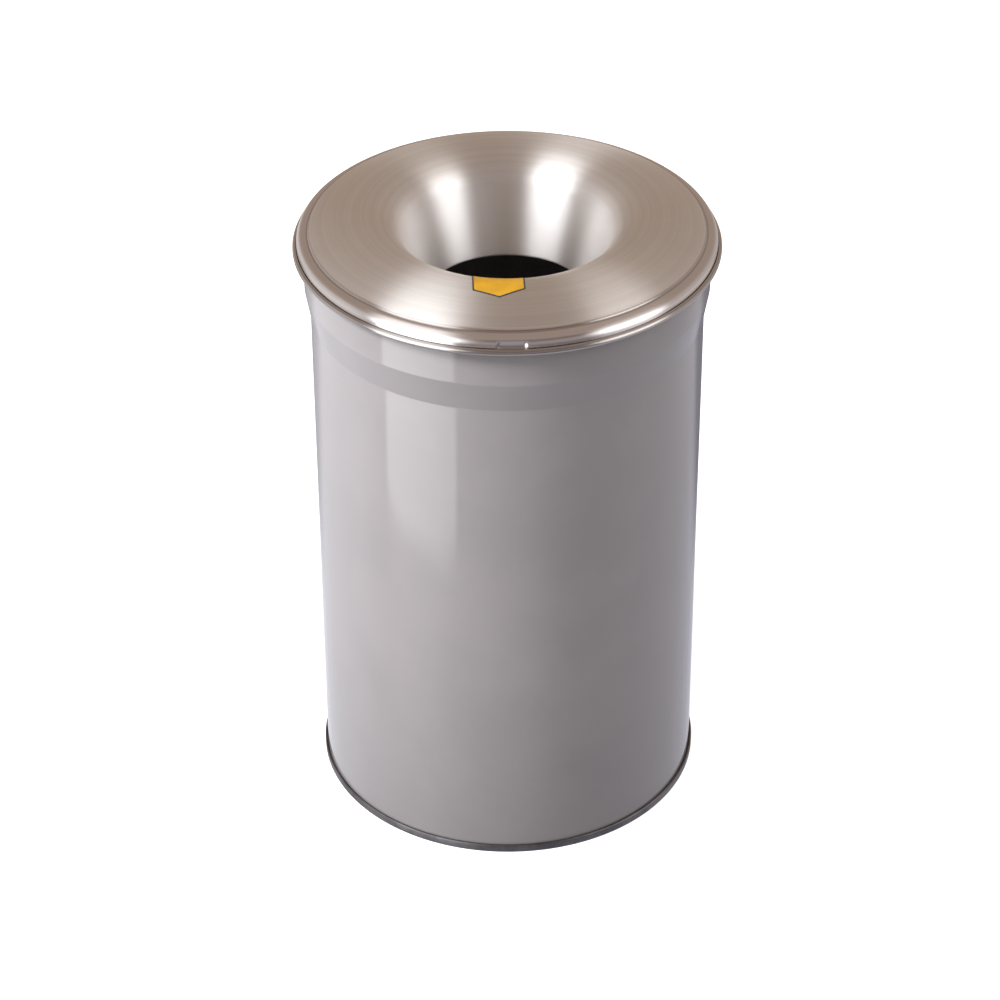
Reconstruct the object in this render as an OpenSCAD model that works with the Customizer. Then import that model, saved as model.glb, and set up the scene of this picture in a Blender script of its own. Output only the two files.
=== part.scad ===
// Drum waste receptacle with a lift-off, self-extinguishing funnel head.
// The origin is at the middle of the base, on the surface that the drum stands on. +Z is up, units are mm.

/* [Drum] */
// Outer diameter of the drum body
body_d = 360; // [320:1:440]
// Height of the drum, from the floor to the top of its curled edge
drum_h = 579; // [480:1:720]
// Thickness of the rolled steel sheet
wall = 0.8; // [0.6:0.05:1.2]
// How far the expanded band at the top stands out from the body, on the radius
band_step = 4.9; // [3:0.1:8]
// Height of the expanded band, from the swage to the top of the curl
band_h = 49; // [35:1:70]
// Height of the sloping swage between the body and the band
swage_h = 30; // [18:1:36]
// Radius of the two bends of the swage
swage_bend = 10; // [5:0.5:12]
// Outer diameter of the curled top edge
curl_d = 6; // [5:0.1:8]

/* [Bottom] */
// Thickness of the pressed steel bottom
bottom_t = 0.8; // [0.6:0.05:1.2]
// Height of the double seam that joins the bottom to the body
seam_h = 8.4; // [7.8:0.1:14]
// Gap between the layers of the double seam
seam_gap = 0.05; // [0.03:0.01:0.1]
// Height of the bottom panel's underside above the floor
recess_h = 12.5; // [12:0.5:20]
// Radius between the bottom panel and its upright wall
panel_corner = 4; // [2:0.5:8]
// Diameter of the pressed stiffening ring, at its middle
ring_d = 276; // [200:1:290]
// Width of the pressed stiffening ring
ring_w = 18; // [12:1:30]
// Height of the pressed stiffening ring
ring_h = 3; // [1:0.5:5]

/* [Head] */
// Thickness of the spun aluminium sheet
head_t = 1.2; // [0.9:0.05:1.6]
// Clearance between the head and the curled edge of the drum
seat_gap = 0.3; // [0.2:0.05:1]
// Radius of the head's rounded shoulder
shoulder = 9; // [8.4:0.1:14]
// Radius of both bends of the small step at the edge of the dome
step_bend = 2.2; // [1.6:0.1:3]
// Slope of the riser in that step, from the horizontal
step_slope = 60; // [50:1:75]
// Slope of the dome where it ends at the step
dome_slope = 32; // [20:1:40]
// Diameter of the ring along the top of the dome
crest_d = 256; // [225:1:275]
// Radius of the roll from the top of the dome into the funnel
roll = 36; // [25:1:40]
// Diameter of the round throat
throat_d = 148; // [110:1:160]
// Depth of the throat below the top of the dome
funnel_h = 87; // [60:1:120]
// Diameter of the rolled hem around the throat
hem_d = 3.6; // [3.4:0.1:5]
// Outer diameter of the rolled bead around the head's lower edge
bead_d = 6.6; // [5:0.1:9]
// Height of the shoulder's centre above the centre of the bead
bead_drop = 4.7; // [4:0.1:8]

/* [Pressed grips] */
// Number of pressed grips around the head
grips = 3; // [3:1:8]
// Depth of a pressed grip
grip_depth = 1.8; // [1:0.1:2.4]
// Width of a pressed grip
grip_w = 28; // [15:1:45]
// Height of a pressed grip above the shoulder's centre
grip_h = 4.8; // [2:0.1:6]
// Direction of the first pressed grip, turned from the front
grip_turn = 1.2; // [-30:0.1:30]

/* [Label] */
// Width of the label
label_w = 46; // [30:1:60]
// Length of the label's straight sides, seen from above
label_side = 37; // [20:1:45]
// Length of the label's pointed end
label_point = 11; // [5:0.5:16]
// Distance of the label's point from the drum's axis
label_reach = 147; // [140:1:155]
// Direction of the label, turned from the front
label_turn = -3; // [-30:0.5:30]
// How far the label leans from square
label_lean = 5; // [-10:0.5:10]
// Thickness of the vinyl label
label_t = 0.2; // [0.1:0.05:0.4]
// Adhesive gap under the label
label_gap = 0.05; // [0.02:0.01:0.1]

/* [Hidden] */

round_fn = 96;      // roundness of whole revolved pieces
small_fn = 48;      // roundness of curls, hems and seam bends
bend_steps = 6;     // straight facets along a small bend
sweep_steps = 20;   // straight facets along a large arc
bite = 0.5;         // overlap of joined shapes and overshoot of cuts
front = -90;        // direction of the front, from +X
curl_slot = 0.6;    // slit left where a curled sheet ends
hook_end_gap = 0.1; // clearance under the end of the bottom's hook
compound_h = 1;     // height of the space for the sealing compound
compound_gap = 0.1; // clearance under the sealing compound
foot_round = 1.2;   // rounded corners of the seam's foot
label_end = 160;    // direction from the lip's centre in which the label's blank ends
label_spread = 60;  // width of the label's blank, in degrees

body_r = body_d / 2;
band_r = body_r + band_step;

// Double seam, as layers from the inside out
chuck_or = body_r - wall - seam_gap;
hook_ir = body_r + seam_gap;
body_hook_ir = hook_ir + bottom_t + seam_gap;
seam_ir = body_hook_ir + wall + seam_gap;
seam_or = seam_ir + bottom_t;
body_bend_ir = (body_hook_ir - body_r) / 2;
body_bend_or = body_bend_ir + wall;
body_bend_r = body_r + body_bend_ir;
body_bend_z = bottom_t + seam_gap + body_bend_or;
hook_bend_ir = (seam_ir - hook_ir - bottom_t) / 2;
hook_bend_or = hook_bend_ir + bottom_t;
hook_bend_r = seam_ir - hook_bend_ir;
hook_bend_z = seam_h - hook_bend_or;
hook_end_z = body_bend_z + hook_end_gap;
body_hook_z = hook_bend_z - compound_h;

// Curled top edge of the drum
curl_r = band_r - wall / 2;
curl_z = drum_h - curl_d / 2;

// Swage between body and band
swage_top_z = drum_h - band_h;
swage_z = swage_top_z - swage_h;
swage_lean = atan2(swage_h, band_step - 2 * swage_bend);
swage_span = norm([band_step - 2 * swage_bend, swage_h]);
swage_turn = 90 - swage_lean + asin(2 * swage_bend / swage_span);

// Head, laid out from the curled edge that it sits on
grip_ir = curl_r + curl_d / 2 + seat_gap;
head_r = grip_ir + grip_depth + head_t;
shoulder_r = head_r - shoulder;
seat_reach = shoulder - head_t - curl_d / 2 - seat_gap;
shoulder_z = curl_z - sqrt(pow(seat_reach, 2) - pow(curl_r - shoulder_r, 2));
bead_r = grip_ir + bead_d / 2;
bead_z = shoulder_z - bead_drop;
bead_top_z = bead_z + bead_d / 2;
grip_top_z = shoulder_z + grip_h;
bead_mid = (bead_d - head_t) / 2;
bead_join_z = bead_z + sqrt(pow(bead_mid, 2) - pow(bead_mid - grip_depth, 2));

step_in = [shoulder_r, shoulder_z + shoulder + step_bend];
step_mid = step_in - step_bend * toward(90 - step_slope);
step_out = step_mid - step_bend * toward(90 - step_slope);
dome_edge = step_out + step_bend * toward(90 - dome_slope);
crest_r = crest_d / 2;
dome_r = (dome_edge.x - crest_r) / sin(dome_slope);
crest_z = dome_edge.y + dome_r * (1 - cos(dome_slope));
roll_c = [crest_r, crest_z - roll];
throat = [throat_d / 2, crest_z - funnel_h];
throat_run = norm(roll_c - throat);
throat_lean = atan2(roll_c.y - throat.y, roll_c.x - throat.x);
funnel_slope = throat_lean + asin(roll / throat_run);

// A unit vector in a profile, at an angle from the +X direction
function toward(a) = [cos(a), sin(a)];

// Points along an arc of a profile
function arc(c, r, from, to, steps) =
    [for (i = [0 : steps]) c + r * toward(from + (to - from) * i / steps)];

// The same list of points, backwards
function backwards(p) = [for (i = [len(p) - 1 : -1 : 0]) p[i]];

// One face of the drum's wall, d inside its outer face
function shell_line(d) = concat(
    [[body_r - d, body_bend_z]],
    arc([body_r + swage_bend, swage_z], swage_bend + d, 180, 180 - swage_turn, bend_steps),
    arc([band_r - swage_bend, swage_top_z], swage_bend - d, -swage_turn, 0, bend_steps),
    [[band_r - d, curl_z - curl_d / 2 + wall / 2]]
);

// The top of the dome and the funnel, d below the face that shows
function dome_line(d, funnel_from, dome_to) = concat(
    arc(roll_c, roll - d, funnel_from, 90, sweep_steps),
    arc([crest_r, crest_z - dome_r], dome_r - d, 90, dome_to, sweep_steps)
);

// One face of the head, from the throat out to the bead, d below the face that shows
function head_line(d) = concat(
    [throat - d * toward(90 + funnel_slope)],
    dome_line(d, 90 + funnel_slope, 90 - dome_slope),
    arc(step_out, step_bend - d, 90 - dome_slope, 90 - step_slope, bend_steps),
    arc(step_in, -step_bend - d, 90 - step_slope, 90, bend_steps),
    arc([shoulder_r, shoulder_z], shoulder - d, 90, 0, sweep_steps),
    [[head_r - d, bead_join_z]]
);

// A flat ring of a profile, between two radii
module ring_2d(outer, inner) {
    difference() {
        circle(r = outer, $fn = small_fn);
        circle(r = inner, $fn = small_fn);
    }
}

// Half of a bent sheet: side is 1 for the upper half and -1 for the lower half
module bend_2d(outer, inner, side) {
    intersection() {
        ring_2d(outer, inner);
        translate([-outer - bite, side > 0 ? 0 : -outer - bite])
            square([2 * outer + 2 * bite, outer + bite]);
    }
}

// Upright sheet of a profile, from z0 to z1
module upright_2d(inner_r, t, z0, z1) {
    translate([inner_r, z0])
        square([t, z1 - z0]);
}

// Rolled steel wall with its curled top edge and the hook of the double seam
module drum_shell() {
    color("#a49f9e")
        rotate_extrude($fn = round_fn) {
            polygon(concat(shell_line(0), backwards(shell_line(wall))));
            translate([curl_r, curl_z])
                difference() {
                    ring_2d(curl_d / 2, curl_d / 2 - wall);
                    translate([wall / 2, -curl_d])
                        square([curl_slot, curl_d]);
                }
            translate([body_bend_r, body_bend_z])
                bend_2d(body_bend_or, body_bend_ir, -1);
            upright_2d(body_hook_ir, wall, body_bend_z, body_hook_z);
        }
}

// Pressed steel bottom: a recessed panel whose edge is folded over the wall's hook
module drum_bottom() {
    panel_z = recess_h;
    panel_end = chuck_or - panel_corner;
    ring_in = ring_d / 2 - ring_w / 2;
    ring_out = ring_d / 2 + ring_w / 2;
    panel = [
        [0, panel_z],
        [ring_in, panel_z],
        [ring_in + ring_h, panel_z + ring_h],
        [ring_out - ring_h, panel_z + ring_h],
        [ring_out, panel_z],
        [panel_end, panel_z]
    ];
    corner = [panel_end, panel_z + bottom_t - panel_corner];
    color("#5f5d60")
        rotate_extrude($fn = round_fn) {
            polygon(concat(
                panel,
                arc(corner, panel_corner - bottom_t, 90, 0, bend_steps),
                arc(corner, panel_corner, 0, 90, bend_steps),
                backwards([for (p = panel) p + [0, bottom_t]])
            ));
            upright_2d(chuck_or - bottom_t, bottom_t, body_bend_z, corner.y);
            difference() {
                seam_foot_2d();
                translate([body_bend_r, body_bend_z])
                    circle(r = body_bend_or + seam_gap, $fn = small_fn);
            }
            upright_2d(seam_ir, bottom_t, body_bend_z, hook_bend_z);
            translate([hook_bend_r, hook_bend_z])
                bend_2d(hook_bend_or, hook_bend_ir, 1);
            upright_2d(hook_ir, bottom_t, hook_end_z, hook_bend_z);
        }
}

// Filled outline of the seam's foot, with a flat to stand on
module seam_foot_2d() {
    foot_ir = chuck_or - bottom_t;
    polygon(concat(
        [[foot_ir, body_bend_z]],
        arc([foot_ir + foot_round, foot_round], foot_round, 180, 270, bend_steps),
        arc([seam_or - foot_round, foot_round], foot_round, 270, 360, bend_steps),
        [[seam_or, body_bend_z]]
    ));
}

// Ring of sealing compound in the fold of the double seam
module seam_compound() {
    z0 = body_hook_z + compound_gap;
    z1 = hook_bend_z + seam_gap;
    color("#2d2b29")
        rotate_extrude($fn = round_fn)
            upright_2d(body_hook_ir, wall, z0, z1);
}

// Spun aluminium head: shoulder, dome and funnel in one sheet
module funnel_head() {
    color("#b5a79a")
        difference() {
            union() {
                rotate_extrude($fn = round_fn) {
                    polygon(concat(head_line(0), backwards(head_line(head_t))));
                    hem_2d();
                    bead_2d();
                }
                each_grip()
                    grip_sector(grip_w + 2 * head_t)
                        intersection() {
                            shoulder_fill_2d();
                            translate([grip_ir, bead_top_z - head_t])
                                square([shoulder, grip_top_z - bead_top_z + 2 * head_t]);
                        }
            }
            each_grip()
                grip_sector(grip_w)
                    translate([grip_ir + head_t, bead_top_z])
                        square([shoulder, grip_top_z - bead_top_z]);
        }
}

// Rolled hem that rounds off the edge of the throat
module hem_2d() {
    translate(throat - hem_d / 2 * toward(90 + funnel_slope))
        circle(d = hem_d, $fn = small_fn);
}

// Rolled bead around the lower edge, with the slit where the sheet ends
module bead_2d() {
    slit = head_r - bead_r;
    translate([bead_r, bead_z])
        difference() {
            ring_2d(bead_d / 2, bead_d / 2 - head_t);
            translate([slit, 0])
                square([curl_slot, bead_d]);
        }
}

// Everything inside the outer face of the shoulder
module shoulder_fill_2d() {
    polygon(concat(
        arc([shoulder_r, shoulder_z], shoulder, 90, 0, sweep_steps),
        [[head_r, bead_z], [shoulder_r, bead_z]]
    ));
}

// Copies of a grip, spread evenly around the head
module each_grip() {
    for (i = [0 : grips - 1])
        rotate(front + grip_turn + i * 360 / grips)
            children();
}

// A profile swept over the width w of a grip
module grip_sector(w) {
    spread = w / head_r * 180 / PI;
    rotate(-spread / 2)
        rotate_extrude(angle = spread, $fn = round_fn)
            children();
}

// Blank label on the front of the dome, wrapped over the lip of the funnel
module front_label() {
    color("#fac92a")
        intersection() {
            rotate(front + label_turn - label_spread / 2)
                rotate_extrude(angle = label_spread, $fn = round_fn)
                    polygon(concat(
                        dome_line(-label_gap - label_t, label_end, 90 - dome_slope),
                        backwards(dome_line(-label_gap, label_end, 90 - dome_slope))
                    ));
            rotate(front + label_turn)
                translate([label_reach - label_point, 0, throat.y])
                    rotate(label_lean)
                        linear_extrude(crest_z)
                            polygon([
                                [label_point, 0],
                                [0, label_w / 2],
                                [-label_side, label_w / 2],
                                [-label_side, -label_w / 2],
                                [0, -label_w / 2]
                            ]);
        }
}

drum_shell();
drum_bottom();
seam_compound();
funnel_head();
front_label();
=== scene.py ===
import math

import bmesh
import bpy
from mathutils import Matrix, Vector


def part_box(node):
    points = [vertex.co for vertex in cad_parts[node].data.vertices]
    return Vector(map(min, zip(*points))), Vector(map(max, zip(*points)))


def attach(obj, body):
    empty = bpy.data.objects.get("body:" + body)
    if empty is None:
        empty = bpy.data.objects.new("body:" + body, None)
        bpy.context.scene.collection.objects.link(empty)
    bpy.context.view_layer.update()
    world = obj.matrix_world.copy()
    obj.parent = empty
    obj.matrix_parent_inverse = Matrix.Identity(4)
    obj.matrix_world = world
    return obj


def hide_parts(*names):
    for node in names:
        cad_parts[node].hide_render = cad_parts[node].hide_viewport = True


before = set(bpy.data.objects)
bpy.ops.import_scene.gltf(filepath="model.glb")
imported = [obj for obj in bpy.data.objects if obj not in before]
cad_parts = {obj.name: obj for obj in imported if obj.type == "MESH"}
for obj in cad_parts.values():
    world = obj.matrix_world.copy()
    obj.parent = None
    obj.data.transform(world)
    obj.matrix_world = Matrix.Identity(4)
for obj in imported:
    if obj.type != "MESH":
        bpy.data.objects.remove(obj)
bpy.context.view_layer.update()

MM = 0.001

# ---------------------------------------------------------------------------------------------------------
# Sizes in millimetres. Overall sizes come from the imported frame, and the sheet details hang on them.

_, shell_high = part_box("drum_shell")
_, bottom_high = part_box("drum_bottom")
_, head_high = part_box("funnel_head")

WALL = 0.8
BOTTOM_T = 0.8
SEAM_GAP = 0.05
CURL_R = 3.0
BAND_STEP = 4.9
BAND_H = 49.0
SWAGE_H = 30.0
SWAGE_BEND = 10.0
CURL_SLIT = 0.6

drum_top = shell_high.z / MM
curl_c = (shell_high.x / MM - CURL_R, drum_top - CURL_R)
band_r = curl_c[0] + WALL / 2
body_r = band_r - BAND_STEP

RECESS_H = 12.5
PANEL_CORNER = 4.0
RING_R = 138.0
RING_W = 18.0
RING_H = 3.0
RING_SOFT = 2.4
FOOT_ROUND = 1.2
HOOK_END_GAP = 0.1
COMPOUND_H = 1.0
seam_or = bottom_high.x / MM
SEAM_H = 8.4

HEAD_T = 1.2
SEAT_GAP = 0.3
SHOULDER = 9.0
STEP_BEND = 2.2
STEP_SLOPE = 60.0
DOME_SLOPE = 32.0
CREST_R = 128.0
ROLL = 36.0
THROAT_R = 74.0
FUNNEL_H = 87.0
HEM_R = 1.8
BEAD_R = 3.28
BEAD_DROP = 4.7
GRIPS = 3
GRIP_DEPTH = 1.8
GRIP_W = 28.0
GRIP_TURN = 1.2
GRIP_SOFT = 4.0

grip_ir = curl_c[0] + CURL_R + SEAT_GAP
head_r = grip_ir + GRIP_DEPTH + HEAD_T
shoulder_r = head_r - SHOULDER
seat_reach = SHOULDER - HEAD_T - CURL_R - SEAT_GAP
shoulder_z = curl_c[1] - math.sqrt(seat_reach ** 2 - (curl_c[0] - shoulder_r) ** 2)
bead_c = (grip_ir + BEAD_R, shoulder_z - BEAD_DROP)
crest_z = head_high.z / MM
roll_c = (CREST_R, crest_z - ROLL)
throat = (THROAT_R, crest_z - FUNNEL_H)
throat_run = math.hypot(roll_c[0] - throat[0], roll_c[1] - throat[1])
throat_lean = math.degrees(math.atan2(roll_c[1] - throat[1], roll_c[0] - throat[0]))
funnel_slope = throat_lean + math.degrees(math.asin(ROLL / throat_run))

LABEL_W = 46.0
LABEL_SIDE = 37.0
LABEL_POINT = 11.0
LABEL_REACH = 147.0
LABEL_TURN = -3.0
LABEL_LEAN = 5.0
LABEL_T = 0.2
LABEL_GAP = 0.05
LABEL_BORDER = 1.5

FRONT = -90.0

# Steps round the drum, round the head and across one grip
DRUM_STEPS = 288
HEAD_STEPS = 300
GRIP_STEPS = 56
# Rows of the label along its straight sides and its pointed end, and its columns
SIDE_ROWS = 40
POINT_ROWS = 14
LABEL_COLUMNS = 44


# ---------------------------------------------------------------------------------------------------------
# Profiles: lists of (radius, height) in millimetres

def toward(angle):
    return math.cos(math.radians(angle)), math.sin(math.radians(angle))


def shift(point, distance, angle):
    ux, uy = toward(angle)
    return point[0] + distance * ux, point[1] + distance * uy


def arc(centre, radius, start, end, steps):
    return [shift(centre, radius, start + (end - start) * i / steps) for i in range(steps + 1)]


def line(start, end, steps):
    """Points between two ends, both left out, so that long straight walls have rings of their own."""
    return [
        (start[0] + (end[0] - start[0]) * i / steps, start[1] + (end[1] - start[1]) * i / steps)
        for i in range(1, steps)
    ]


def head_step():
    """Centres of the two small bends between the shoulder and the dome, and the edge of the dome."""
    inner = (shoulder_r, shoulder_z + SHOULDER + STEP_BEND)
    middle = shift(inner, -STEP_BEND, 90 - STEP_SLOPE)
    outer = shift(middle, -STEP_BEND, 90 - STEP_SLOPE)
    return inner, outer, shift(outer, STEP_BEND, 90 - DOME_SLOPE)


step_in, step_out, dome_edge = head_step()
dome_radius = (dome_edge[0] - CREST_R) / math.sin(math.radians(DOME_SLOPE))
dome_c = (CREST_R, crest_z - dome_radius)


def head_face(depth):
    """One face of the head's sheet from the throat to the bead, depth below the face that shows."""
    normal = 90 + funnel_slope
    start = shift(throat, -depth, normal)
    top = shift(roll_c, ROLL - depth, normal)
    return (
        [start] + line(start, top, 14)
        + arc(roll_c, ROLL - depth, normal, 90, 30)
        + arc(dome_c, dome_radius - depth, 90, 90 - DOME_SLOPE, 22)[1:]
        + arc(step_out, STEP_BEND - depth, 90 - DOME_SLOPE, 90 - STEP_SLOPE, 5)[1:]
        + arc(step_in, -STEP_BEND - depth, 90 - STEP_SLOPE, 90, 7)[1:]
        + arc((shoulder_r, shoulder_z), SHOULDER - depth, 90, 0, 26)[1:]
    )


def head_profile():
    normal = 90 + funnel_slope
    hem_c = shift(throat, -HEM_R, normal)
    hem_turn = 360 - math.degrees(math.acos((HEM_R - HEAD_T) / HEM_R))
    hem = arc(hem_c, HEM_R, normal, normal + hem_turn, 22)
    void_r = BEAD_R - HEAD_T
    out_x = head_r - bead_c[0]
    end_x = out_x + CURL_SLIT
    in_x = out_x - HEAD_T

    def at(x, radius):
        return math.degrees(math.acos(x / radius))

    bead = (
        arc(bead_c, void_r, at(out_x, void_r), 360 + at(end_x, void_r), 20)
        + arc(bead_c, BEAD_R, at(end_x, BEAD_R), at(in_x, BEAD_R) - 360, 34)
    )
    inside = list(reversed(head_face(HEAD_T)))[:-1]
    return list(reversed(hem)) + head_face(0)[1:] + bead + inside


def drum_face(depth):
    """One face of the drum's wall from the seam up to the curl, depth inside its outer face."""
    top_z = drum_top - BAND_H
    low_z = top_z - SWAGE_H
    run = BAND_STEP - 2 * SWAGE_BEND
    lean = math.degrees(math.atan2(SWAGE_H, run))
    turn = 90 - lean + math.degrees(math.asin(2 * SWAGE_BEND / math.hypot(run, SWAGE_H)))
    foot = (body_r - depth, body_bend[1])
    low = (body_r - depth, low_z)
    high = (band_r - depth, top_z)
    return (
        [foot] + line(foot, low, 40)
        + arc((body_r + SWAGE_BEND, low_z), SWAGE_BEND + depth, 180, 180 - turn, 8)
        + arc((band_r - SWAGE_BEND, top_z), SWAGE_BEND - depth, -turn, 0, 8)
        + line(high, (high[0], curl_c[1] - CURL_R), 6)
    )


hook_ir = body_r + SEAM_GAP
body_hook_ir = hook_ir + BOTTOM_T + SEAM_GAP
seam_ir = seam_or - BOTTOM_T
body_bend_ir = (body_hook_ir - body_r) / 2
body_bend_or = body_bend_ir + WALL
body_bend = (body_r + body_bend_ir, BOTTOM_T + SEAM_GAP + body_bend_or)
hook_bend_ir = (seam_ir - hook_ir - BOTTOM_T) / 2
hook_bend_or = hook_bend_ir + BOTTOM_T
hook_bend = (seam_ir - hook_bend_ir, SEAM_H - hook_bend_or)


def shell_profile():
    void_r = CURL_R - WALL
    out_x = WALL / 2
    end_x = out_x + CURL_SLIT

    def at(x, radius):
        return math.degrees(math.acos(x / radius))

    curl = (
        arc(curl_c, void_r, -at(out_x, void_r), -360 - at(end_x, void_r), 18)
        + arc(curl_c, CURL_R, -at(end_x, CURL_R), 360 - at(-out_x, CURL_R), 30)
    )
    hook_top = hook_bend[1] - COMPOUND_H
    hook = (
        [(body_hook_ir, hook_top), (body_hook_ir + WALL, hook_top)]
        + arc(body_bend, body_bend_or, 0, -180, 10)[:-1]
    )
    inside = list(reversed(drum_face(WALL)))
    # The wall's outer face starts inside the bend of the hook
    outside = arc(body_bend, body_bend_ir, -180, 0, 8)
    return drum_face(0)[1:] + curl + inside[:-1] + list(reversed(hook)) + list(reversed(outside))


def bottom_profile():
    chuck_or = body_r - WALL - SEAM_GAP
    chuck_ir = chuck_or - BOTTOM_T
    top = RECESS_H + BOTTOM_T
    panel_end = chuck_or - PANEL_CORNER
    corner = (panel_end, top - PANEL_CORNER)
    ring_in = RING_R - RING_W / 2
    ring_out = RING_R + RING_W / 2
    hook_end = body_bend[1] + HOOK_END_GAP

    def panel(z):
        ring = [(ring_in, z), (ring_in + RING_H, z + RING_H), (ring_out - RING_H, z + RING_H), (ring_out, z)]
        soft = soften(ring, RING_SOFT, 5)
        return [(0, z), (ring_in / 3, z), (ring_in * 2 / 3, z)] + soft + [(panel_end, z)]

    return (
        panel(top)
        + arc(corner, PANEL_CORNER, 90, 0, 8)[1:]
        + arc(body_bend, body_bend_or + SEAM_GAP, 180, 360, 12)
        + arc(hook_bend, hook_bend_ir, 0, 180, 8)
        + [(hook_ir + BOTTOM_T, hook_end), (hook_ir, hook_end)]
        + arc(hook_bend, hook_bend_or, 180, 0, 14)
        + arc((seam_or - FOOT_ROUND, FOOT_ROUND), FOOT_ROUND, 0, -90, 8)
        + arc((chuck_ir + FOOT_ROUND, FOOT_ROUND), FOOT_ROUND, -90, -180, 8)
        + arc(corner, PANEL_CORNER - BOTTOM_T, 0, 90, 8)
        + list(reversed(panel(RECESS_H)))[1:]
    )


def soften(points, reach, steps):
    """The same open path with each of its corners rounded by a small curve."""
    out = []
    padded = [(points[0][0] - 10, points[0][1])] + points + [(points[-1][0] + 10, points[-1][1])]
    for before, here, after in zip(padded, padded[1:], padded[2:]):
        a = _step(here, before, reach)
        b = _step(here, after, reach)
        for i in range(steps + 1):
            t = i / steps
            out.append(tuple(
                (1 - t) ** 2 * a[k] + 2 * t * (1 - t) * here[k] + t ** 2 * b[k] for k in range(2)
            ))
    return out


def _step(start, end, distance):
    length = math.hypot(end[0] - start[0], end[1] - start[1])
    part = min(distance / length, 0.45)
    return tuple(start[k] + (end[k] - start[k]) * part for k in range(2))


# ---------------------------------------------------------------------------------------------------------
# Meshes

def finish_mesh(name, bm, material, body, stands_for):
    bmesh.ops.remove_doubles(bm, verts=bm.verts, dist=0.002 * MM)
    bmesh.ops.recalc_face_normals(bm, faces=bm.faces)
    mesh = bpy.data.meshes.new(name)
    bm.to_mesh(mesh)
    bm.free()
    mesh.shade_smooth()
    mesh.set_sharp_from_angle(angle=math.radians(32))
    mesh.materials.append(material)
    piece = bpy.data.objects.new(name, mesh)
    bpy.context.scene.collection.objects.link(piece)
    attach(piece, body)
    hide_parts(stands_for)
    return piece


def lathe(profile, angles, press=None):
    """A closed solid turned around the axis. press(r, z, angle) may move a point in its own radial plane."""
    bm = bmesh.new()
    rings = []
    for angle in angles:
        ux, uy = toward(angle)
        ring = []
        for r, z in profile:
            if press:
                r, z = press(r, z, angle)
            ring.append(bm.verts.new((r * ux * MM, r * uy * MM, z * MM)))
        rings.append(ring)
    count = len(profile)
    for ring, after in zip(rings, rings[1:] + rings[:1]):
        for i in range(count):
            j = (i + 1) % count
            corners = [ring[i], after[i], after[j], ring[j]]
            if profile[i][0] < 1e-6 and profile[j][0] < 1e-6:
                continue
            bm.faces.new(corners)
    return bm


def even_angles(count):
    return [360.0 * i / count for i in range(count)]


def smooth(t):
    t = min(max(t, 0.0), 1.0)
    return t * t * (3 - 2 * t)


grip_angles = [FRONT + GRIP_TURN + 360.0 * i / GRIPS for i in range(GRIPS)]


def grip_offset(angle):
    """Distance along the rim, in millimetres, to the middle of the nearest grip."""
    return min(abs((angle - a + 180) % 360 - 180) for a in grip_angles) * math.pi / 180 * head_r


def head_angles():
    """Even steps round the head, and fine ones across each grip."""
    fine = GRIP_W / 2 + GRIP_SOFT
    coarse = [a for a in even_angles(HEAD_STEPS) if grip_offset(a) > fine]
    spread = math.degrees(fine / head_r)
    close = [g + spread * (2 * i / GRIP_STEPS - 1) for g in grip_angles for i in range(GRIP_STEPS + 1)]
    return sorted(a % 360 for a in coarse + close)


def press_grip(r, z, angle):
    """Pushes the shoulder in to the flat floor of a grip, with soft ends and a ledge above."""
    offset = grip_offset(angle)
    if offset > GRIP_W / 2 + GRIP_SOFT or r < shoulder_r:
        return r, z
    bead_top = bead_c[1] + BEAD_R
    ends = 1 - smooth((offset - GRIP_W / 2 + GRIP_SOFT) / 5.0)
    low = smooth((z - bead_top + 0.9) / 1.6)
    floor = head_r - GRIP_DEPTH
    outer = head_r_at(z)
    push = max(outer - floor, 0.0)
    return r - push * ends * low, z


def head_r_at(z):
    """Radius of the shoulder's outer face at a height."""
    up = min(max((z - shoulder_z) / SHOULDER, 0.0), 1.0)
    return shoulder_r + SHOULDER * math.sqrt(1 - up * up)


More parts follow.
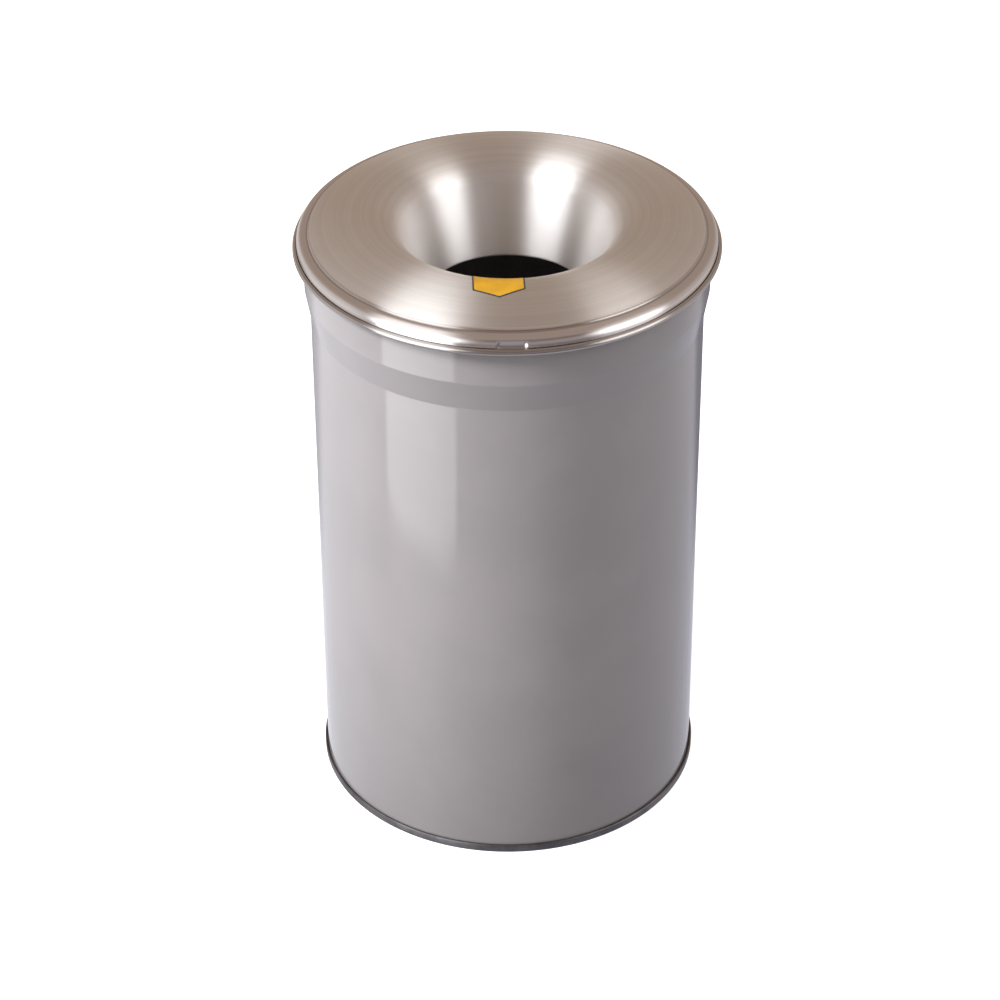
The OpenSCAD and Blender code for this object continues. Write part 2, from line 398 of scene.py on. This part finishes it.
def label_mesh():
    """A thin pentagon of vinyl laid on the dome and over the lip, with each point's distance to its edge."""
    top_u = -LABEL_SIDE
    rows = [top_u + LABEL_SIDE * i / SIDE_ROWS for i in range(SIDE_ROWS + 1)]
    rows += [LABEL_POINT * i / POINT_ROWS for i in range(1, POINT_ROWS + 1)]
    columns = LABEL_COLUMNS
    pivot = shift((0, 0), LABEL_REACH - LABEL_POINT, FRONT + LABEL_TURN)
    along = toward(FRONT + LABEL_TURN + LABEL_LEAN)
    across = toward(FRONT + LABEL_TURN + LABEL_LEAN + 90)
    slant = math.hypot(LABEL_POINT, LABEL_W / 2)
    bm = bmesh.new()
    edge_layer = bm.verts.layers.float.new("edge")
    grids = []
    for offset in (LABEL_GAP + LABEL_T, LABEL_GAP):
        grid = []
        for u in rows:
            half = LABEL_W / 2 * (1 - max(u, 0) / LABEL_POINT)
            row = []
            for j in range(columns + 1):
                v = half * (2 * j / columns - 1)
                x = pivot[0] + along[0] * u + across[0] * v
                y = pivot[1] + along[1] * u + across[1] * v
                vert = bm.verts.new(on_dome(x, y, offset))
                side = LABEL_W / 2 - abs(v)
                tip = (side * LABEL_POINT - u * LABEL_W / 2) / slant
                vert[edge_layer] = max(min(side, u - top_u, tip), 0)
                row.append(vert)
            grid.append(row)
        grids.append(grid)
    top, low = grids
    for i in range(len(rows) - 1):
        for j in range(columns):
            bm.faces.new([top[i][j], top[i + 1][j], top[i + 1][j + 1], top[i][j + 1]])
            bm.faces.new([low[i][j], low[i][j + 1], low[i + 1][j + 1], low[i + 1][j]])
    rim = [(0, j) for j in range(columns + 1)]
    rim += [(i, columns) for i in range(1, len(rows))]
    rim += [(len(rows) - 1, j) for j in range(columns - 1, -1, -1)]
    rim += [(i, 0) for i in range(len(rows) - 2, 0, -1)]
    for (i, j), (k, m) in zip(rim, rim[1:] + rim[:1]):
        bm.faces.new([top[i][j], top[k][m], low[k][m], low[i][j]])
    return bm


def on_dome(x, y, offset):
    """The point over plan position x, y that stands offset proud of the dome or of the roll of the lip."""
    r = math.hypot(x, y)
    centre, radius = (dome_c, dome_radius) if r > CREST_R else (roll_c, ROLL)
    part = (r - centre[0]) / (radius + offset)
    z = centre[1] + (radius + offset) * math.sqrt(max(1 - part * part, 0))
    return x * MM, y * MM, z * MM


# ---------------------------------------------------------------------------------------------------------
# Materials

class Nodes:
    """A small helper that adds and links the nodes of one tree."""

    def __init__(self, tree):
        self.tree = tree
        tree.nodes.clear()

    def add(self, kind, **values):
        node = self.tree.nodes.new(kind)
        for name, value in values.items():
            setattr(node, name, value)
        return node

    def join(self, source, target):
        self.tree.links.new(source, target)

    def math(self, operation, a, b=None, c=None):
        node = self.add("ShaderNodeMath", operation=operation)
        for socket, value in zip(node.inputs, (a, b, c)):
            self.feed(socket, value)
        return node.outputs[0]

    def feed(self, socket, value):
        if value is None:
            return
        if isinstance(value, bpy.types.NodeSocket):
            self.join(value, socket)
        else:
            socket.default_value = value

    def ramp(self, value, low, high, to_low=0.0, to_high=1.0, kind="SMOOTHSTEP"):
        node = self.add("ShaderNodeMapRange", interpolation_type=kind)
        node.clamp = True
        for name, number in (("Value", value), ("From Min", low), ("From Max", high),
                             ("To Min", to_low), ("To Max", to_high)):
            self.feed(node.inputs[name], number)
        return node.outputs["Result"]

    def mix(self, factor, a, b, blend="MIX"):
        node = self.add("ShaderNodeMix", data_type="RGBA", blend_type=blend)
        self.feed(node.inputs[0], factor)
        self.feed(node.inputs[6], a)
        self.feed(node.inputs[7], b)
        return node.outputs[2]

    def noise(self, vector, scale, detail=2.0, rough=0.5):
        node = self.add("ShaderNodeTexNoise")
        self.feed(node.inputs["Vector"], vector)
        node.inputs["Scale"].default_value = scale
        node.inputs["Detail"].default_value = detail
        node.inputs["Roughness"].default_value = rough
        return node.outputs["Fac"]

    def vector(self, x=0.0, y=0.0, z=0.0):
        node = self.add("ShaderNodeCombineXYZ")
        for socket, value in zip(node.inputs, (x, y, z)):
            self.feed(socket, value)
        return node.outputs[0]

    def bump(self, height, strength, distance, normal=None):
        node = self.add("ShaderNodeBump")
        node.inputs["Strength"].default_value = strength
        node.inputs["Distance"].default_value = distance
        self.join(height, node.inputs["Height"])
        if normal is not None:
            self.join(normal, node.inputs["Normal"])
        return node.outputs[0]


def colour(r, g, b):
    return (r, g, b, 1.0)


def material(name):
    """A new material with its node helper, its shader and its object coordinates."""
    made = bpy.data.materials.new(name)
    made.use_nodes = True
    nodes = Nodes(made.node_tree)
    shader = nodes.add("ShaderNodeBsdfPrincipled")
    output = nodes.add("ShaderNodeOutputMaterial")
    nodes.join(shader.outputs[0], output.inputs[0])
    place = nodes.add("ShaderNodeTexCoord").outputs["Object"]
    split = nodes.add("ShaderNodeSeparateXYZ")
    nodes.join(place, split.inputs[0])
    x, y, z = split.outputs
    radius = nodes.math("SQRT", nodes.math("ADD", nodes.math("MULTIPLY", x, x), nodes.math("MULTIPLY", y, y)))
    return made, nodes, shader, {"place": place, "x": x, "y": y, "z": z, "r": radius}


def band(nodes, value, middle, half, soft):
    """1 within half of middle, fading to 0 over soft."""
    away = nodes.math("ABSOLUTE", nodes.math("SUBTRACT", value, middle))
    return nodes.ramp(away, half, half + soft, 1.0, 0.0)


def spun_aluminium():
    made, nodes, shader, at = material("spun_aluminium")
    r, z, place = at["r"], at["z"], at["place"]
    # Tool lines run right round the head, so they vary with the radius and the height only
    rings = nodes.vector(r, 0.0, z)
    fine = nodes.noise(rings, 2600.0, 3.0, 0.7)
    broad = nodes.noise(rings, 210.0, 3.0, 0.6)
    smudge = nodes.noise(place, 9.0, 4.0, 0.6)
    tone = nodes.mix(nodes.ramp(broad, 0.3, 0.7), colour(0.75, 0.735, 0.72), colour(0.82, 0.805, 0.79))
    tone = nodes.mix(nodes.ramp(smudge, 0.45, 0.75, 0.0, 0.35), tone, colour(0.70, 0.68, 0.66))
    # Painted light makes the funnel brighter than the dome, and painted shade makes the shoulder darker
    tone = nodes.mix(nodes.ramp(r, 0.088, 0.110, 1.0, 0.0), tone, colour(0.96, 0.95, 0.945))
    edge = nodes.ramp(r, (dome_edge[0] - 2.0) * MM, (dome_edge[0] + 1.0) * MM, 0.0, 0.8)
    tone = nodes.mix(edge, tone, colour(0.60, 0.575, 0.575))
    # Painted shade makes the bead round the lower edge darker than the rest
    hem = nodes.ramp(z, (bead_c[1] + BEAD_R - 0.6) * MM, (bead_c[1] + BEAD_R + 0.3) * MM, 0.75, 0.0)
    bead = nodes.math("MULTIPLY", hem, nodes.math("GREATER_THAN", r, shoulder_r * MM))
    tone = nodes.mix(bead, tone, colour(0.34, 0.315, 0.30))
    # Painted shade darkens the small step between the dome and the shoulder
    step_painted_shade = band(nodes, r, (dome_edge[0] + 1.3) * MM, 0.7 * MM, 0.9 * MM)
    tone = nodes.mix(nodes.math("MULTIPLY", step_painted_shade, 0.5), tone, colour(0.24, 0.21, 0.20))
    nodes.join(tone, shader.inputs["Base Color"])
    shader.inputs["Metallic"].default_value = 1.0
    worn = nodes.ramp(smudge, 0.4, 0.7, 0.0, 0.03)
    rough = nodes.math("ADD", nodes.ramp(fine, 0.25, 0.75, 0.35, 0.43), worn)
    # The rolled shoulder is burnished smoother than the dome
    smoother = nodes.ramp(r, (dome_edge[0] - 3.0) * MM, (dome_edge[0] + 0.5) * MM, 1.0, 0.5)
    nodes.join(nodes.math("MULTIPLY", rough, smoother), shader.inputs["Roughness"])
    shader.inputs["Anisotropic"].default_value = 0.95
    shader.inputs["Anisotropic Rotation"].default_value = 0.25
    tangent = nodes.add("ShaderNodeTangent", direction_type="RADIAL", axis="Z")
    nodes.join(tangent.outputs[0], shader.inputs["Tangent"])
    lines = nodes.bump(fine, 0.25, 0.00008)
    nodes.join(nodes.bump(broad, 0.35, 0.0003, lines), shader.inputs["Normal"])
    return made


def gray_paint():
    made, nodes, shader, at = material("gray_paint")
    place, z = at["place"], at["z"]
    mottle = nodes.noise(place, 14.0, 3.0, 0.55)
    peel = nodes.noise(place, 420.0, 2.0, 0.5)
    dust = nodes.noise(place, 900.0, 2.0, 0.5)
    tone = nodes.mix(nodes.ramp(mottle, 0.35, 0.65), colour(0.172, 0.162, 0.163), colour(0.182, 0.171, 0.172))
    # Painted shade darkens the paint towards the floor, broken up a little by dust
    low = nodes.ramp(z, 0.0, 0.22, 0.24, 0.0, "LINEAR")
    low_dust_and_shade = nodes.math("MULTIPLY", low, nodes.ramp(dust, 0.3, 0.7, 0.8, 1.0))
    tone = nodes.mix(low_dust_and_shade, tone, colour(0.02, 0.018, 0.018))
    nodes.join(tone, shader.inputs["Base Color"])
    nodes.join(nodes.ramp(mottle, 0.3, 0.7, 0.42, 0.5), shader.inputs["Roughness"])
    shader.inputs["Specular IOR Level"].default_value = 0.2
    shader.inputs["Coat Weight"].default_value = 1.0
    shader.inputs["Coat Roughness"].default_value = 0.06
    shader.inputs["Coat IOR"].default_value = 1.5
    skin = nodes.bump(peel, 0.06, 0.00006)
    nodes.join(skin, shader.inputs["Normal"])
    nodes.join(skin, shader.inputs["Coat Normal"])
    return made


def bare_steel():
    made, nodes, shader, at = material("bare_steel")
    rings = nodes.vector(at["r"], 0.0, at["z"])
    lines = nodes.noise(rings, 1400.0, 3.0, 0.6)
    stain = nodes.noise(at["place"], 26.0, 4.0, 0.65)
    tone = nodes.mix(nodes.ramp(stain, 0.35, 0.7), colour(0.17, 0.165, 0.17), colour(0.09, 0.087, 0.09))
    nodes.join(tone, shader.inputs["Base Color"])
    shader.inputs["Metallic"].default_value = 1.0
    nodes.join(nodes.ramp(lines, 0.3, 0.7, 0.34, 0.48), shader.inputs["Roughness"])
    nodes.join(nodes.bump(lines, 0.2, 0.0001), shader.inputs["Normal"])
    return made


def label_vinyl():
    made, nodes, shader, at = material("label_vinyl")
    edge = nodes.add("ShaderNodeAttribute", attribute_name="edge").outputs["Fac"]
    wear = nodes.noise(at["place"], 60.0, 3.0, 0.6)
    yellow = nodes.mix(nodes.ramp(wear, 0.35, 0.7), colour(0.29, 0.150, 0.004), colour(0.25, 0.128, 0.004))
    inside = nodes.ramp(edge, LABEL_BORDER - 0.15, LABEL_BORDER + 0.15)
    nodes.join(nodes.mix(inside, colour(0.02, 0.018, 0.016), yellow), shader.inputs["Base Color"])
    nodes.join(nodes.ramp(wear, 0.3, 0.7, 0.38, 0.5), shader.inputs["Roughness"])
    nodes.join(nodes.bump(wear, 0.05, 0.0002), shader.inputs["Normal"])
    return made


def compound_rubber():
    made, nodes, shader, at = material("compound_rubber")
    grain = nodes.noise(at["place"], 300.0, 2.0, 0.5)
    tone = nodes.mix(grain, colour(0.02, 0.019, 0.018), colour(0.04, 0.037, 0.034))
    nodes.join(tone, shader.inputs["Base Color"])
    nodes.join(nodes.ramp(grain, 0.3, 0.7, 0.7, 0.85), shader.inputs["Roughness"])
    return made


def pale_floor():
    made, nodes, shader, at = material("pale_floor")
    grain = nodes.noise(at["place"], 3.0, 2.0, 0.5)
    tone = nodes.mix(grain, colour(0.38, 0.38, 0.38), colour(0.40, 0.40, 0.40))
    nodes.join(tone, shader.inputs["Base Color"])
    nodes.join(nodes.ramp(grain, 0.3, 0.7, 0.85, 0.95), shader.inputs["Roughness"])
    shader.inputs["Specular IOR Level"].default_value = 0.0
    shader.inputs["Emission Color"].default_value = colour(1.0, 1.0, 1.0)
    shader.inputs["Emission Strength"].default_value = 0.8
    return made


# ---------------------------------------------------------------------------------------------------------
# The object

aluminium = spun_aluminium()
paint = gray_paint()

finish_mesh("drum_shell_skin", lathe(shell_profile(), even_angles(DRUM_STEPS)), paint, "drum",
            "drum_shell")
finish_mesh("drum_bottom_skin", lathe(bottom_profile(), even_angles(DRUM_STEPS)), bare_steel(), "drum",
            "drum_bottom")
finish_mesh("funnel_head_skin", lathe(head_profile(), head_angles(), press_grip), aluminium, "head",
            "funnel_head")
finish_mesh("front_label_skin", label_mesh(), label_vinyl(), "head", "front_label")

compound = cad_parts["seam_compound"]
compound.data.materials.clear()
compound.data.materials.append(compound_rubber())


# ---------------------------------------------------------------------------------------------------------
# Floor, light and camera

def make_floor():
    bm = bmesh.new()
    bmesh.ops.create_circle(bm, cap_ends=True, segments=96, radius=FLOOR_R)
    mesh = bpy.data.meshes.new("floor")
    bm.to_mesh(mesh)
    bm.free()
    mesh.materials.append(pale_floor())
    floor = bpy.data.objects.new("floor", mesh)
    bpy.context.scene.collection.objects.link(floor)
    # The room that the metal reflects is drawn in the world instead
    floor.visible_glossy = False
    floor.visible_diffuse = False
    return floor


def studio_world():
    """A studio all round, laid out by how a surface has to face to mirror each part of it to the main view.

    turn is the surface's direction round the can from the front, and tilt is its angle from facing up.
    """
    world = bpy.data.worlds.new("studio")
    bpy.context.scene.world = world
    world.use_nodes = True
    nodes = Nodes(world.node_tree)
    toward_view = nodes.add("ShaderNodeVectorMath", operation="ADD")
    nodes.join(nodes.add("ShaderNodeTexCoord").outputs["Generated"], toward_view.inputs[0])
    view_up = math.radians(VIEW_UP)
    toward_view.inputs[1].default_value = (0.0, -math.cos(view_up), math.sin(view_up))
    facing = nodes.add("ShaderNodeVectorMath", operation="NORMALIZE")
    nodes.join(toward_view.outputs[0], facing.inputs[0])
    split = nodes.add("ShaderNodeSeparateXYZ")
    nodes.join(facing.outputs[0], split.inputs[0])
    x, y, z = split.outputs
    degrees = 180 / math.pi
    turn = nodes.math("MULTIPLY", nodes.math("ARCTAN2", x, nodes.math("MULTIPLY", y, -1.0)), degrees)
    tilt = nodes.math("MULTIPLY", nodes.math("ARCCOSINE", z), degrees)

    def outside(value, middle, reach, corner):
        """0 in the middle of a soft box, and 1 at its edge, in parts of its corner radius."""
        away = nodes.math("ABSOLUTE", nodes.math("SUBTRACT", value, middle))
        past = nodes.math("SUBTRACT", away, reach - corner)
        return nodes.math("MAXIMUM", nodes.math("DIVIDE", past, corner), 0.0)

    def box(middle, half, low, high, corner, soft, tint):
        # A rectangle with rounded corners, whose corner radius differs across and up
        wide = outside(turn, middle, half, corner[0])
        tall = outside(tilt, (low + high) / 2, (high - low) / 2, corner[1])
        reach = nodes.math("SQRT", nodes.math("ADD", nodes.math("MULTIPLY", wide, wide),
                                              nodes.math("MULTIPLY", tall, tall)))
        node = nodes.add("ShaderNodeVectorMath", operation="SCALE")
        node.inputs[0].default_value = tint
        nodes.join(nodes.ramp(reach, 1.0 - soft, 1.0 + soft, 1.0, 0.0), node.inputs["Scale"])
        return node.outputs[0]

    walls = nodes.mix(nodes.ramp(tilt, 30.0, 60.0), colour(*CEILING), colour(*WALLS))
    walls = nodes.mix(nodes.ramp(tilt, 72.0, 84.0), walls, colour(*SKIRTING))
    light = nodes.mix(nodes.ramp(tilt, 90.6, 91.6), walls, colour(*TABLE))
    for lamp in SOFT_BOXES:
        node = nodes.add("ShaderNodeVectorMath", operation="ADD")
        nodes.join(light, node.inputs[0])
        nodes.join(box(*lamp), node.inputs[1])
        light = node.outputs[0]
    background = nodes.add("ShaderNodeBackground")
    nodes.join(light, background.inputs["Color"])
    output = nodes.add("ShaderNodeOutputWorld")
    nodes.join(background.outputs[0], output.inputs[0])


FLOOR_R = 9.0
VIEW_UP = 30.0
CEILING = (0.45, 0.35, 0.285)
WALLS = (0.48, 0.42, 0.40)
SKIRTING = (0.24, 0.195, 0.18)
TABLE = (0.66, 0.67, 0.76)
# turn from the front (positive to the right), half width, least and most tilt, corner radius across and up,
# softness, light
SOFT_BOXES = [
    (-27.0, 11.5, 20.0, 90.0, (8.0, 14.0), 0.5, (0.9, 0.92, 0.94)),
    (-27.0, 11.5, 18.0, 76.0, (8.0, 14.0), 0.5, (0.25, 0.26, 0.27)),
    (-25.0, 13.0, 54.0, 79.0, (8.0, 10.0), 0.5, (2.1, 2.12, 2.14)),
    (36.0, 11.0, 36.0, 90.0, (8.0, 12.0), 0.45, (0.4, 0.4, 0.4)),
    (35.0, 11.0, 52.0, 77.0, (8.0, 10.0), 0.5, (1.9, 1.9, 1.9)),
    (38.0, 12.0, 8.0, 36.0, (8.0, 8.0), 0.6, (0.12, 0.11, 0.1)),
    (-74.0, 34.0, 46.0, 74.0, (15.0, 12.0), 0.6, (0.4, 0.4, 0.4)),
    (-55.0, 16.0, 70.0, 92.0, (10.0, 6.0), 0.6, (0.5, 0.5, 0.5)),
    (80.0, 34.0, 46.0, 74.0, (15.0, 12.0), 0.6, (0.15, 0.14, 0.13)),
    (-90.0, 19.0, 84.0, 130.0, (6.0, 6.0), 0.5, (-0.45, -0.46, -0.5)),
    (90.0, 19.0, 84.0, 130.0, (6.0, 6.0), 0.5, (-0.45, -0.46, -0.5)),
    (56.0, 20.0, 70.0, 92.0, (10.0, 6.0), 0.6, (0.35, 0.32, 0.3)),
    (8.0, 17.0, 50.0, 62.0, (9.0, 4.0), 0.4, (-0.28, -0.26, -0.25)),
    (16.0, 9.0, 82.0, 94.0, (5.0, 4.0), 0.5, (-0.12, -0.11, -0.1)),
    (-26.0, 11.1, 80.0, 92.9, (6.0, 0.35), 0.15, (2.5, 2.5, 2.5)),
    (-62.0, 18.0, 88.0, 130.0, (14.0, 2.0), 0.6, (0.3, 0.3, 0.3)),
]


def area_light(name, place, aim, size, power, tint=(1.0, 1.0, 1.0)):
    lamp = bpy.data.lights.new(name, "AREA")
    lamp.shape = "DISK"
    lamp.size = size
    lamp.energy = power
    lamp.color = tint
    light = bpy.data.objects.new(name, lamp)
    light.location = place
    light.rotation_euler = (Vector(aim) - Vector(place)).to_track_quat("-Z", "Y").to_euler()
    light.visible_glossy = False
    light.visible_camera = False
    bpy.context.scene.collection.objects.link(light)
    return light


def make_camera():
    lens = 119.92
    distance = 3.1742
    elevation = 0.6017
    roll = -0.0024
    aim = Vector((0.0, 0.0, 0.2832))
    data = bpy.data.cameras.new("camera")
    data.lens = lens
    data.sensor_width = 36.0
    data.shift_x = -0.00784
    data.clip_end = 60.0
    camera = bpy.data.objects.new("camera", data)
    camera.location = aim + distance * Vector((0.0, -math.cos(elevation), math.sin(elevation)))
    look = (aim - camera.location).to_track_quat("-Z", "Y").to_matrix().to_4x4()
    camera.rotation_euler = look.to_euler()
    camera.rotation_euler.rotate_axis("Z", roll)
    bpy.context.scene.collection.objects.link(camera)
    bpy.context.scene.camera = camera
    return camera


make_floor()
studio_world()
middle = (0.0, 0.0, 0.3)
area_light("key", (-2.45, -1.05, 2.8), middle, 1.2, 290.0)
area_light("fill", (1.7, -1.6, 3.2), middle, 1.2, 26.0)
area_light("sweep", (0.0, 0.6, 4.2), (0.0, 0.0, 0.0), 4.0, 60.0)
make_camera()
bpy.context.scene.view_settings.view_transform = "Standard"
